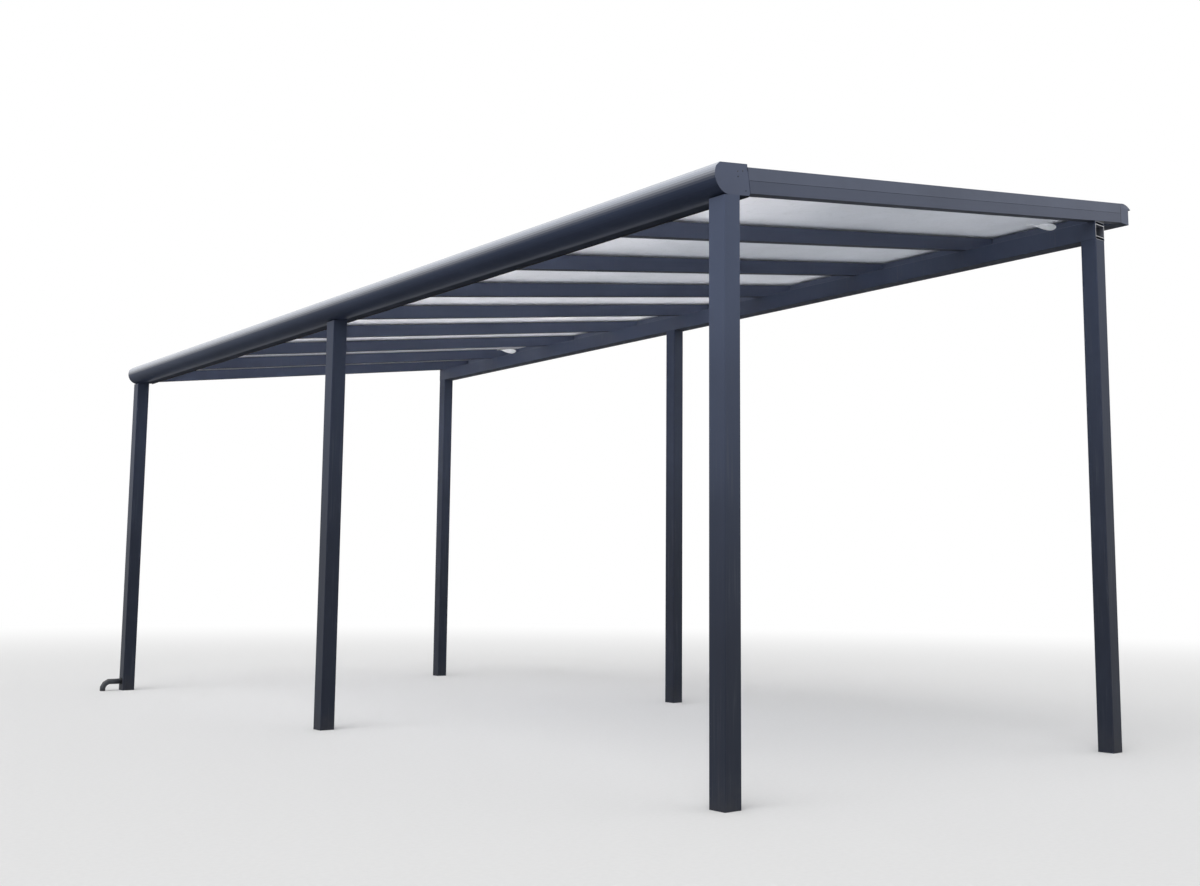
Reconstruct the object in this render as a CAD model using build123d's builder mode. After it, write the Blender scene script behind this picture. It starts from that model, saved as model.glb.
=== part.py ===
from build123d import *
import os
from math import cos, radians, sin, tan

# Free-standing carport of aluminium extrusions with a single-pitch roof of opal sheets.
# X runs up the slope from the gutter side, Y runs from front to rear, Z is up.
# The origin lies on the ground in the middle of the footprint.

# Driving dimensions in millimetres and degrees
roof_slope = 8.7
bay_count = 8
seat_gap = 0.3

post_width = 110.0
post_wall = 3.0
post_corner = 5.0
row_spacing = 3525.0
eaves_height = 2970.0
right_mid_post_setback = 4140.0

foot_plate = 8.0
foot_play = 0.5
foot_lug_height = 90.0
foot_lug_width = 60.0
foot_lug_thickness = 6.0
foot_hole_spacing = 70.0
foot_hole_radius = 5.5

beam_height = 125.0
beam_wall = 4.0
beam_corner = 3.0
beam_side_chamber = 16.0
wedge_toe = 14.0

rafter_width = 60.0
rafter_height = 92.0
rafter_wall = 2.5
nib_width = 12.0
nib_height = 26.0
ridge_width = 5.0
ridge_inset = 4.0
sheet_seat = 95.0

sheet_width = 980.0
sheet_thickness = 16.0
sheet_play = 9.0
sheet_lap_into_gutter = 66.0
sheet_lap_into_closer = 22.0
trim_wall = 1.5
trim_leg = 25.0
trim_drip = 8.0

cover_top = 134.0
cover_wall = 2.0
cover_corner = 4.0
edge_flange_foot = 66.0
edge_groove = 1.5
flange_wall = 2.5

gutter_floor = -12.0
gutter_top = 149.0
gutter_overhang = 49.0
gutter_radius = 90.0
gutter_arc_end = 131.0
gutter_shoulder = -6.0
gutter_lip = 20.0
gutter_lip_return = 12.0
gutter_back = 188.0
gutter_back_chamfer = 12.0
gutter_wall = 3.0
cap_thickness = 4.0

drain_margin = 32.0
drain_play = 15.0
drain_wall = 2.0
drain_flange = 8.0
drain_length = 50.0

closer_start = 3867.0
closer_width = 105.0
closer_body_height = 112.0
closer_nose = 32.0
closer_nose_thickness = 3.0
closer_crown_start_rise = 22.0
closer_crown_middle = 78.0
closer_crown_rise = 26.0
closer_wall = 2.5
closer_cap_step = 1.5

pipe_radius = 25.0
pipe_wall = 2.0
pipe_height = 85.0
pipe_bend = 70.0
pipe_mitres = 3
pipe_run = 100.0
pipe_tail_inside = 12.0
pipe_clearance = 0.5

# Sizes that follow from the driving dimensions
slope = radians(roof_slope)
rafter_count = bay_count + 1
bay_pitch = sheet_width + nib_width + 2 * sheet_play
roof_length = bay_count * bay_pitch + rafter_width
y_front = -roof_length / 2
y_rear = roof_length / 2
reach_low = pipe_run + pipe_bend + pipe_radius
reach_high = closer_start + closer_width + closer_nose
x_left = (reach_low - reach_high) / 2
x_right = x_left + row_spacing
sheet_top = sheet_seat + sheet_thickness
pipe_y = y_rear - post_width / 2
drain_radius = post_width / 2 - post_wall - drain_margin
drain_centre = post_width - post_wall - drain_radius - drain_play
crown_start = closer_body_height + closer_crown_start_rise
crown_top = closer_body_height + closer_crown_rise


def roof_point(along, above, y=0.0):
    """Give the place that lies so far up the slope and so far above the rafters' underside."""
    x = x_left + along * cos(slope) - above * sin(slope)
    z = eaves_height + along * sin(slope) + above * cos(slope)
    return (x, y, z)


def rafter_plane(along, y):
    """Give the cross-section plane of a rafter: local X is +Y, local Y is square to the roof."""
    return Plane(origin=roof_point(along, 0, y), x_dir=(0, 1, 0), z_dir=(cos(slope), 0, sin(slope)))


def long_plane(y):
    """Give the cross-section plane of what runs along the eaves: local X runs up the slope."""
    return Plane(origin=roof_point(0, 0, y), x_dir=(cos(slope), 0, sin(slope)), z_dir=(0, -1, 0))


def save(part, name):
    """Label a finished piece and write it to its own file."""
    part.label = name
    export_step(part, f"parts/{name}.step")


os.makedirs("parts", exist_ok=True)

# Posts: hollow square extrusions, those on the gutter side cut to the slope of the roof
left_post_y = [y_front, -post_width / 2, y_rear - post_width]
right_post_y = [y_front, y_front + right_mid_post_setback, y_rear - post_width]
row_names = ["front", "mid", "rear"]
beam_top = roof_point(0, 0)[2] + row_spacing * tan(slope) - seat_gap
beam_bottom = beam_top - beam_height
right_post_height = beam_bottom - seat_gap


def post_tube(x, y, height):
    """Build a hollow post that stands on the ground, with its low corner at x and y."""
    with BuildPart() as tube:
        with BuildSketch(Plane.XY):
            with Locations((x + post_width / 2, y + post_width / 2)):
                RectangleRounded(post_width, post_width, post_corner)
                Rectangle(post_width - 2 * post_wall, post_width - 2 * post_wall, mode=Mode.SUBTRACT)
        extrude(amount=height)
    return tube.part


for name, y in zip(row_names, left_post_y):
    with BuildPart() as post:
        add(post_tube(x_left, y, eaves_height + post_width))
        cut_origin = roof_point(0, gutter_floor - seat_gap, y)
        split(bisect_by=Plane(origin=cut_origin, z_dir=(-sin(slope), 0, cos(slope))), keep=Keep.BOTTOM)
        if name == "rear":
            pipe_hole = Plane(
                origin=(x_left - post_wall, y + post_width / 2, pipe_height), z_dir=(1, 0, 0)
            )
            with BuildSketch(pipe_hole):
                Circle(pipe_radius + pipe_clearance)
            extrude(amount=3 * post_wall, mode=Mode.SUBTRACT)
    save(post.part, f"post_left_{name}")

for name, y in zip(row_names, right_post_y):
    save(post_tube(x_right, y, right_post_height), f"post_right_{name}")

# Feet: a drilled plate in the bottom of each post with two lugs against the post's walls
post_places = [(x_left, y) for y in left_post_y] + [(x_right, y) for y in right_post_y]
post_centres = [(x + post_width / 2, y + post_width / 2) for x, y in post_places]
foot_width = post_width - 2 * post_wall - 2 * foot_play
lug_offset = foot_width / 2 - foot_lug_thickness / 2

with BuildPart() as feet:
    with BuildSketch(Plane.XY):
        with Locations(post_centres):
            Rectangle(foot_width, foot_width)
    extrude(amount=foot_plate)
    with BuildSketch(Plane.XY.offset(foot_plate)):
        with Locations(post_centres):
            with Locations((0, -lug_offset), (0, lug_offset)):
                Rectangle(foot_lug_width, foot_lug_thickness)
    extrude(amount=foot_lug_height)
    with BuildSketch(Plane.XY):
        with Locations(post_centres):
            with GridLocations(foot_hole_spacing, foot_hole_spacing, 2, 2):
                Circle(foot_hole_radius)
    extrude(amount=foot_plate, mode=Mode.SUBTRACT)
save(feet.part, "post_feet")

# Carrier beam: a level extrusion of three chambers over the right-hand posts, open at both ends
with BuildPart() as beam:
    beam_plane = Plane(
        origin=(x_right + post_width / 2, y_front, beam_bottom + beam_height / 2),
        x_dir=(1, 0, 0),
        z_dir=(0, -1, 0),
    )
    with BuildSketch(beam_plane):
        RectangleRounded(post_width, beam_height, beam_corner)
        chamber_width = post_width - 2 * beam_wall
        side_chamber_offset = (beam_height - beam_side_chamber) / 2 - beam_wall
        main_chamber = beam_height - 4 * beam_wall - 2 * beam_side_chamber
        Rectangle(chamber_width, main_chamber, mode=Mode.SUBTRACT)
        with Locations((0, -side_chamber_offset), (0, side_chamber_offset)):
            Rectangle(chamber_width, beam_side_chamber, mode=Mode.SUBTRACT)
    extrude(amount=-roof_length)
save(beam.part, "carrier_beam")


# Gutter: an open trough with a half-round outer face, tilted with the roof
def gutter_outline():
    """Draw the gutter's outer line from the top of its back wall round to its shoulder."""
    centre = (gutter_radius - gutter_overhang, gutter_floor + gutter_radius)
    rise = gutter_arc_end - centre[1]
    arc_top = (centre[0] - (gutter_radius**2 - rise**2) ** 0.5, gutter_arc_end)
    floor_start = (centre[0], gutter_floor)
    floor_end = (gutter_back - gutter_back_chamfer, gutter_floor)
    back_foot = (gutter_back, gutter_floor + gutter_back_chamfer)
    outer_left = (-gutter_overhang, centre[1])
    shoulder = (gutter_shoulder, gutter_top)
    Line(back_foot, floor_end)
    Line(floor_end, floor_start)
    ThreePointArc(floor_start, outer_left, arc_top)
    Line(arc_top, shoulder)
    return back_foot, shoulder


def drain_plane(above):
    """Give the plane across the drain, so far above the rafters' underside."""
    origin = roof_point(drain_centre, above, pipe_y)
    return Plane(origin=origin, x_dir=(cos(slope), 0, sin(slope)), z_dir=(-sin(slope), 0, cos(slope)))


with BuildPart() as gutter:
    with BuildSketch(long_plane(y_rear - cap_thickness)):
        with BuildLine():
            back_foot, shoulder = gutter_outline()
            Line((gutter_back, sheet_seat - seat_gap), back_foot)
            lip_end = (gutter_shoulder + gutter_lip, gutter_top)
            Line(shoulder, lip_end)
            Line(lip_end, (lip_end[0], gutter_top - gutter_lip_return))
            offset(amount=gutter_wall, side=Side.LEFT)
        make_face()
    extrude(amount=roof_length - 2 * cap_thickness)
    with BuildSketch(drain_plane(gutter_floor)):
        Circle(drain_radius + pipe_clearance)
    extrude(amount=2 * gutter_wall, mode=Mode.SUBTRACT)
save(gutter.part, "gutter")

# Drain: a flanged spigot that hangs through the gutter's floor into the rear left post
drain_seat = gutter_floor + gutter_wall + seat_gap
with BuildPart() as drain:
    with BuildSketch(drain_plane(drain_seat)):
        Circle(drain_radius + drain_flange)
    extrude(amount=drain_wall)
    with BuildSketch(drain_plane(drain_seat)):
        Circle(drain_radius)
    extrude(amount=-drain_length)
    with BuildSketch(drain_plane(drain_seat + drain_wall)):
        Circle(drain_radius - drain_wall)
    extrude(amount=-drain_length - drain_wall, mode=Mode.SUBTRACT)
save(drain.part, "gutter_drain")

for name, y in (("front", y_front + cap_thickness), ("rear", y_rear)):
    with BuildPart() as cap:
        with BuildSketch(long_plane(y)):
            with BuildLine():
                back_foot, shoulder = gutter_outline()
                Polyline(shoulder, (gutter_back, gutter_top), back_foot)
            make_face()
        extrude(amount=cap_thickness)
    save(cap.part, f"gutter_cap_{name}")

# Rafters: hollow extrusions with a central nib between the sheets and two bearing ridges,
# cut plumb at the high end
rafter_start = gutter_back + seat_gap
uncut_length = closer_start + closer_width - rafter_start
high_end = Plane(origin=(x_left + closer_start - seat_gap, 0, 0), z_dir=(1, 0, 0))
half_width = rafter_width / 2
ridge_centre = half_width - ridge_inset - ridge_width / 2


def rafter(index, outer_side):
    """Build one rafter. outer_side is -1 or 1 where an edge cover hangs on that side, else 0."""
    y = y_front + half_width + index * bay_pitch
    rebate = flange_wall + seat_gap
    with BuildPart() as bar:
        with BuildSketch(rafter_plane(rafter_start, y)):
            with Locations((0, rafter_height / 2)):
                Rectangle(rafter_width, rafter_height)
            with Locations((0, rafter_height + nib_height / 2)):
                Rectangle(nib_width, nib_height)
            ridge_height = sheet_seat - seat_gap - rafter_height
            with Locations((-ridge_centre, rafter_height), (ridge_centre, rafter_height)):
                Rectangle(ridge_width, ridge_height, align=(Align.CENTER, Align.MIN))
            if outer_side:
                rebate_height = rafter_height - edge_flange_foot + edge_groove
                with Locations((outer_side * (half_width - rebate / 2), rafter_height)):
                    Rectangle(rebate, rebate_height, align=(Align.CENTER, Align.MAX), mode=Mode.SUBTRACT)
            hollow_side = rafter_wall + (rebate if outer_side else 0)
            hollow_width = rafter_width - rafter_wall - hollow_side
            with Locations((outer_side * (rafter_wall - hollow_side) / 2, rafter_height / 2)):
                Rectangle(hollow_width, rafter_height - 2 * rafter_wall, mode=Mode.SUBTRACT)
        extrude(amount=uncut_length)
        split(bisect_by=high_end, keep=Keep.BOTTOM)
    return bar.part


def cover(index, outer_side):
    """Build the cover strip over one rafter, with a long flange down an outer side."""
    y = y_front + half_width + index * bay_pitch
    foot = sheet_top + seat_gap
    nib_top = rafter_height + nib_height
    with BuildPart() as strip:
        with BuildSketch(rafter_plane(rafter_start, y)):
            with BuildSketch(mode=Mode.ADD):
                with Locations((0, cover_top)):
                    Rectangle(rafter_width, cover_top - foot, align=(Align.CENTER, Align.MAX))
                fillet(vertices().group_by(Axis.Y)[-1], cover_corner)
            with Locations((0, cover_top - cover_wall)):
                Rectangle(
                    rafter_width - 2 * cover_wall,
                    cover_top - cover_wall - foot,
                    align=(Align.CENTER, Align.MAX),
                    mode=Mode.SUBTRACT,
                )
                Rectangle(nib_width, cover_top - cover_wall - nib_top - seat_gap, align=(Align.CENTER, Align.MAX))
            if outer_side:
                with Locations((outer_side * (half_width - flange_wall / 2), foot + cover_corner)):
                    Rectangle(flange_wall, foot + cover_corner - edge_flange_foot, align=(Align.CENTER, Align.MAX))
        extrude(amount=uncut_length)
        split(bisect_by=high_end, keep=Keep.BOTTOM)
    return strip.part


for index in range(rafter_count):
    if index == 0:
        outer_side, name = -1, "edge_front"
    elif index == bay_count:
        outer_side, name = 1, "edge_rear"
    else:
        outer_side, name = 0, str(index)
    save(rafter(index, outer_side), f"rafter_{name}")
    save(cover(index, outer_side), f"cover_{name}")

# Sheets: opal multiwall sheets from over the gutter into the closing profile
sheet_start = gutter_back - sheet_lap_into_gutter
sheet_reach = closer_start + sheet_lap_into_closer + sheet_top * sin(slope)
sheet_length = sheet_reach / cos(slope) - sheet_start
for index in range(bay_count):
    y = y_front + half_width + (index + 0.5) * bay_pitch
    with BuildPart() as sheet:
        with BuildSketch(rafter_plane(sheet_start, y)):
            with Locations((0, sheet_seat + sheet_thickness / 2)):
                Rectangle(sheet_width, sheet_thickness)
        extrude(amount=sheet_length)
    save(sheet.part, f"roof_sheet_{index + 1}")

# End trims: a channel with a drip edge over the low end of each sheet
trim_inner_start = sheet_start - seat_gap
trim_start = trim_inner_start - trim_wall
trim_low = sheet_seat - seat_gap - trim_wall
trim_high = sheet_top + seat_gap + trim_wall
trim_end = sheet_start + trim_leg
with BuildPart() as trims:
    for index in range(bay_count):
        y = y_front + half_width + (index + 0.5) * bay_pitch + sheet_width / 2
        with BuildSketch(long_plane(y)):
            with BuildLine():
                Polyline(
                    (trim_end, trim_low),
                    (trim_start + trim_wall, trim_low),
                    (trim_start + trim_wall, trim_low - trim_drip),
                    (trim_start, trim_low - trim_drip),
                    (trim_start, trim_high),
                    (trim_end, trim_high),
                    (trim_end, trim_high - trim_wall),
                    (trim_inner_start, trim_high - trim_wall),
                    (trim_inner_start, trim_low + trim_wall),
                    (trim_end, trim_low + trim_wall),
                    close=True,
                )
            make_face()
        extrude(amount=sheet_width)
save(trims.part, "sheet_end_trims")


# Closing profile along the high side: a plumb box with a domed crown that ends in a drip nose
def closer_plane(y):
    """Give the closing profile's cross-section plane: local X is level, local Y is up."""
    floor = eaves_height + closer_start * tan(slope)
    return Plane(origin=(x_left + closer_start, y, floor), x_dir=(1, 0, 0), z_dir=(0, -1, 0))


def closer_outline():
    """Draw the closing profile's closed outer line."""
    body_top = (closer_width, closer_body_height)
    nose_foot = (nose_reach, closer_body_height)
    nose_tip = (nose_reach, nose_top)
    crown_foot = (0, crown_start)
    Polyline(crown_foot, (0, 0), (closer_width, 0), body_top, nose_foot, nose_tip)
    ThreePointArc(nose_tip, (closer_crown_middle, crown_top), crown_foot)


def under_crown_outline():
    """Draw the closed line round all that lies a wall's thickness under the crown."""
    inner_start = (0, crown_start - closer_wall)
    inner_tip = (nose_reach, nose_top - closer_wall)
    Polyline(inner_start, (0, 0), (nose_reach, 0), inner_tip)
    ThreePointArc(inner_tip, (closer_crown_middle, crown_top - closer_wall), inner_start)


nose_reach = closer_width + closer_nose
nose_top = closer_body_height + closer_nose_thickness
crown_floor = closer_body_height + closer_wall
crown_height = crown_top - crown_floor
slot_low = sheet_seat / cos(slope) - seat_gap
slot_high = sheet_top / cos(slope) + closer_wall * tan(slope) + seat_gap
with BuildPart() as closer:
    with BuildSketch(closer_plane(y_rear - cap_thickness)):
        with BuildLine():
            closer_outline()
        make_face()
        with BuildSketch(mode=Mode.SUBTRACT):
            with BuildLine():
                under_crown_outline()
            make_face()
            with Locations((closer_wall, crown_floor)):
                Rectangle(nose_reach, crown_height, align=Align.MIN, mode=Mode.INTERSECT)
            with Locations((closer_wall, closer_wall)):
                Rectangle(closer_width - 2 * closer_wall, closer_body_height, align=Align.MIN)
        with Locations((closer_wall / 2, (slot_low + slot_high) / 2)):
            Rectangle(2 * closer_wall, slot_high - slot_low, mode=Mode.SUBTRACT)
    extrude(amount=roof_length - 2 * cap_thickness)
save(closer.part, "closing_profile")

for name, y, outward in (("front", y_front, 1), ("rear", y_rear, -1)):
    with BuildPart() as cap:
        with BuildSketch(closer_plane(y)):
            with Locations((closer_width / 2, closer_body_height / 2)):
                Rectangle(closer_width, closer_body_height)
        extrude(amount=-outward * cap_thickness)
        with BuildSketch(closer_plane(y + outward * closer_cap_step)):
            with BuildLine():
                closer_outline()
            make_face()
        extrude(amount=-outward * (cap_thickness - closer_cap_step))
    save(cap.part, f"closing_cap_{name}")

# Wedges between the level carrier beam and the sloping rafters
with BuildPart() as wedges:
    for index in range(rafter_count):
        y = y_front + index * bay_pitch
        wedge_plane = Plane(origin=(x_right, y, beam_top + seat_gap), x_dir=(1, 0, 0), z_dir=(0, -1, 0))
        with BuildSketch(wedge_plane):
            with BuildLine():
                Polyline(
                    (wedge_toe, 0),
                    (post_width, 0),
                    (post_width, post_width * tan(slope) - seat_gap),
                    (wedge_toe, wedge_toe * tan(slope) - seat_gap),
                    close=True,
                )
            make_face()
        extrude(amount=-rafter_width)
save(wedges.part, "rafter_wedges")

# Rain outlet: a mitred elbow that leaves the rear left post near the ground and turns down into it
pipe_start = x_left + post_wall + pipe_tail_inside
bend_start = x_left - pipe_run
half_mitre = radians(90 / pipe_mitres / 2)
corner_radius = pipe_bend / cos(half_mitre)
pipe_route = [(pipe_start, pipe_y, pipe_height)]
for index in range(pipe_mitres):
    turn = (2 * index + 1) * half_mitre
    corner_x = bend_start - corner_radius * sin(turn)
    corner_z = pipe_height - pipe_bend + corner_radius * cos(turn)
    pipe_route.append((corner_x, pipe_y, corner_z))
pipe_route.append((bend_start - pipe_bend, pipe_y, 0))
with BuildPart() as outlet:
    with BuildLine():
        Polyline(*pipe_route)
    with BuildSketch(Plane(origin=pipe_route[0], z_dir=(-1, 0, 0))):
        Circle(pipe_radius)
        Circle(pipe_radius - pipe_wall, mode=Mode.SUBTRACT)
    sweep(transition=Transition.RIGHT)
save(outlet.part, "rain_outlet")
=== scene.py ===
import logging
import math
from collections.abc import Mapping, Sequence
from dataclasses import dataclass, replace
from enum import Enum

import bmesh
import bpy
import numpy as np
from mathutils import Matrix, Vector


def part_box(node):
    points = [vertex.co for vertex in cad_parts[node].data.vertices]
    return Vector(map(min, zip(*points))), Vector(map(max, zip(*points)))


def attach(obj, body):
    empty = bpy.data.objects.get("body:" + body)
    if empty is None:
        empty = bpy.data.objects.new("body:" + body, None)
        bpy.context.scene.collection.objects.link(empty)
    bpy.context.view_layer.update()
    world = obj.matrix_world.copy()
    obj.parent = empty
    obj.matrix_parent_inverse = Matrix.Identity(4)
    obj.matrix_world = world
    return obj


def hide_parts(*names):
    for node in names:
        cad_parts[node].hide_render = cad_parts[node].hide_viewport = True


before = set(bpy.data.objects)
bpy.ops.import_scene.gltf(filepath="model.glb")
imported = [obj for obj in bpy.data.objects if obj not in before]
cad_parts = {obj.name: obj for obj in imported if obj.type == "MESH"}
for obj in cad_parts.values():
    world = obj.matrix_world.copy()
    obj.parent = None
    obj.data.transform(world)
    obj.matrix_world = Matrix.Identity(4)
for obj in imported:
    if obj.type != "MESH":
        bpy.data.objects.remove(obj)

LOG = logging.getLogger("carport")
MM = 0.001
UP = (0.0, 0.0, 1.0)
DOWN = (0.0, 0.0, -1.0)
REARWARD = (0.0, 1.0, 0.0)

Triple = tuple[float, float, float]
Socket = bpy.types.NodeSocket
Feed = Socket | float | Sequence[float]


class Grain(Enum):
    """The direction in which a bar was drawn through its die."""

    UPRIGHT = (1.0, 1.0, 0.012)
    UPHILL = (0.012, 1.0, 1.0)
    LENGTHWISE = (1.0, 0.012, 1.0)


class Slot(Enum):
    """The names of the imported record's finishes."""

    COAT = "coated_aluminium"
    PIPE = "outlet_plastic"
    METAL = "bare_metal"
    PACKER = "packer"


# Shader wiring


class Wiring:
    """Adds and joins the nodes of one shader tree."""

    def __init__(self, tree: bpy.types.NodeTree) -> None:
        """Keep the tree that the nodes go into."""
        self.tree = tree

    def add(self, kind: str, **settings: object) -> bpy.types.Node:
        """Add a node.

        Args:
            kind: Blender's name of the node type.
            settings: Attributes to set on the node.

        Returns:
            The new node.
        """
        node = self.tree.nodes.new(kind)
        for key, value in settings.items():
            setattr(node, key, value)
        return node

    def feed(self, socket: Socket, value: Feed) -> None:
        """Join a socket to another, or set its own value.

        Args:
            socket: The input socket.
            value: An output socket, a number, or the parts of a vector or colour.
        """
        if isinstance(value, Socket):
            self.tree.links.new(value, socket)
        elif socket.type == "RGBA" and len(value) == 3:
            socket.default_value = (*value, 1.0)
        else:
            socket.default_value = value

    def result(
        self,
        kind: str,
        given: Mapping[int | str, Feed],
        output: int | str = 0,
        **settings: object,
    ) -> Socket:
        """Add a node, feed it and give what it puts out.

        Args:
            kind: Blender's name of the node type.
            given: What goes into its inputs, by number or name.
            output: The output that is wanted.
            settings: Attributes to set on the node.

        Returns:
            The output's socket.
        """
        node = self.add(kind, **settings)
        for key, value in given.items():
            self.feed(node.inputs[key], value)
        return node.outputs[output]

    def maths(self, operation: str, *values: Feed) -> Socket:
        """Work out one number from others."""
        return self.result("ShaderNodeMath", dict(enumerate(values)), operation=operation)

    def times(self, product: Feed, *factors: Feed) -> Feed:
        """Multiply numbers.

        Args:
            product: The first number.
            factors: The others.

        Returns:
            Their product.
        """
        for factor in factors:
            product = self.maths("MULTIPLY", product, factor)
        return product

    def apart(self, first: Feed, second: Feed) -> Socket:
        """Give how far apart two numbers are."""
        return self.maths("ABSOLUTE", self.maths("SUBTRACT", first, second))

    def vector(self, operation: str, *values: Feed) -> Socket:
        """Work out a vector from vectors, or the number of a dot product or a length.

        Args:
            operation: Blender's name of the operation.
            values: What goes in, in order.

        Returns:
            The result's socket.
        """
        output = "Value" if operation in ("DOT_PRODUCT", "LENGTH") else "Vector"
        given = dict(enumerate(values))
        return self.result("ShaderNodeVectorMath", given, output, operation=operation)

    def scaled(self, colour: Feed, tone: Feed) -> Socket:
        """Multiply a colour by a number."""
        given = {0: colour, "Scale": tone}
        return self.result("ShaderNodeVectorMath", given, operation="SCALE")

    def parts(self, where: Feed) -> bpy.types.NodeOutputs:
        """Give the outputs X, Y and Z of a vector.

        Args:
            where: The vector.

        Returns:
            The outputs.
        """
        node = self.add("ShaderNodeSeparateXYZ")
        self.feed(node.inputs[0], where)
        return node.outputs

    def facing(self, direction: Feed) -> Socket:
        """Give the cosine between the surface's normal and a direction."""
        normal = self.add("ShaderNodeNewGeometry").outputs["Normal"]
        return self.vector("DOT_PRODUCT", normal, direction)

    def noise(
        self, where: Feed, scale: Feed, detail: float = 3.0, roughness: float = 0.5
    ) -> Socket:
        """Add a soft noise.

        Args:
            where: The coordinates it follows.
            scale: Its waves to the metre.
            detail: Its number of finer layers.
            roughness: How strong the finer layers are.

        Returns:
            The socket of its value, from 0 to 1.
        """
        given = {"Vector": where, "Scale": scale, "Detail": detail, "Roughness": roughness}
        return self.result("ShaderNodeTexNoise", given, "Fac")

    def ramp(
        self, value: Feed, low: Feed, high: Feed, start: Feed = 0.0, end: Feed = 1.0
    ) -> Socket:
        """Carry a value smoothly from start at low to end at high.

        Args:
            value: The value that runs from low to high.
            low: Where the ramp begins.
            high: Where the ramp ends.
            start: The result at low.
            end: The result at high.

        Returns:
            The result's socket.
        """
        given = dict(enumerate((value, low, high, start, end)))
        return self.result("ShaderNodeMapRange", given, interpolation_type="SMOOTHSTEP")

    def mix(self, share: Feed, first: Feed, second: Feed) -> Socket:
        """Blend two colours: the first where the share is 0, the second where it is 1."""
        return self.result("ShaderNodeMix", {0: share, 6: first, 7: second}, 2, data_type="RGBA")

    def bump(self, height: Feed, depth: float, normal: Feed | None = None) -> Socket:
        """Turn a height into a tilt of the surface.

        Args:
            height: The height, from 0 to 1.
            depth: How deep 1 is, in metres.
            normal: The surface's direction before the bump.

        Returns:
            The socket of the tilted direction.
        """
        given = {"Strength": 1.0, "Distance": depth, "Height": height}
        if normal is not None:
            given["Normal"] = normal
        return self.result("ShaderNodeBump", given)


class Group(Wiring):
    """The wiring of a node group that reads a vector and other inputs."""

    def __init__(self, name: str, *outputs: str, **inputs: float | None) -> None:
        """Start the group.

        Args:
            name: The group's name.
            outputs: What goes out; Normal is a vector and the others are numbers.
            inputs: What comes in besides Vector, with its usual value, or None for a vector.
        """
        super().__init__(bpy.data.node_groups.new(name, "ShaderNodeTree"))
        for label, value in {"Vector": None, **inputs}.items():
            kind = "NodeSocketVector" if value is None else "NodeSocketFloat"
            socket = self.tree.interface.new_socket(name=label, in_out="INPUT", socket_type=kind)
            if value is not None:
                socket.default_value = value
        for label in outputs:
            kind = "NodeSocketVector" if label == "Normal" else "NodeSocketFloat"
            self.tree.interface.new_socket(name=label, in_out="OUTPUT", socket_type=kind)
        self.given = self.add("NodeGroupInput").outputs
        self.where = self.given["Vector"]

    def ripples(self, where: Feed, size: str, detail: float, roughness: float) -> Socket:
        """Add a soft noise whose wave size is one of the inputs."""
        scale = self.maths("DIVIDE", 1.0, self.given[size])
        return self.noise(where, scale, detail, roughness)

    def finished(self, *results: Feed) -> bpy.types.NodeTree:
        """Feed the outputs.

        Args:
            results: What goes out, in the outputs' order.

        Returns:
            The group.
        """
        for socket, result in zip(self.add("NodeGroupOutput").inputs, results):
            self.feed(socket, result)
        return self.tree


class Skin(Wiring):
    """The wiring of a material that reads Object coordinates."""

    def __init__(self, name: str) -> None:
        """Start the material.

        Args:
            name: The material's name.
        """
        self.material = bpy.data.materials.new(name)
        self.material.use_nodes = True
        super().__init__(self.material.node_tree)
        self.where = self.add("ShaderNodeTexCoord").outputs["Object"]

    def effect(self, group: bpy.types.NodeTree, **values: Feed) -> bpy.types.NodeOutputs:
        """Place a shared effect.

        Args:
            group: The effect's node group.
            values: Its inputs besides Vector.

        Returns:
            The effect's outputs.
        """
        node = self.add("ShaderNodeGroup", node_tree=group)
        for key, value in {"Vector": self.where, **values}.items():
            self.feed(node.inputs[key], value)
        return node.outputs

    def finished(self, **values: Feed) -> bpy.types.Material:
        """Feed the Principled BSDF.

        Args:
            values: Its inputs, with _ for a space.

        Returns:
            The material.
        """
        shader = self.tree.nodes["Principled BSDF"].inputs
        for key, value in values.items():
            self.feed(shader[key.replace("_", " ")], value)
        return self.material


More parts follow.
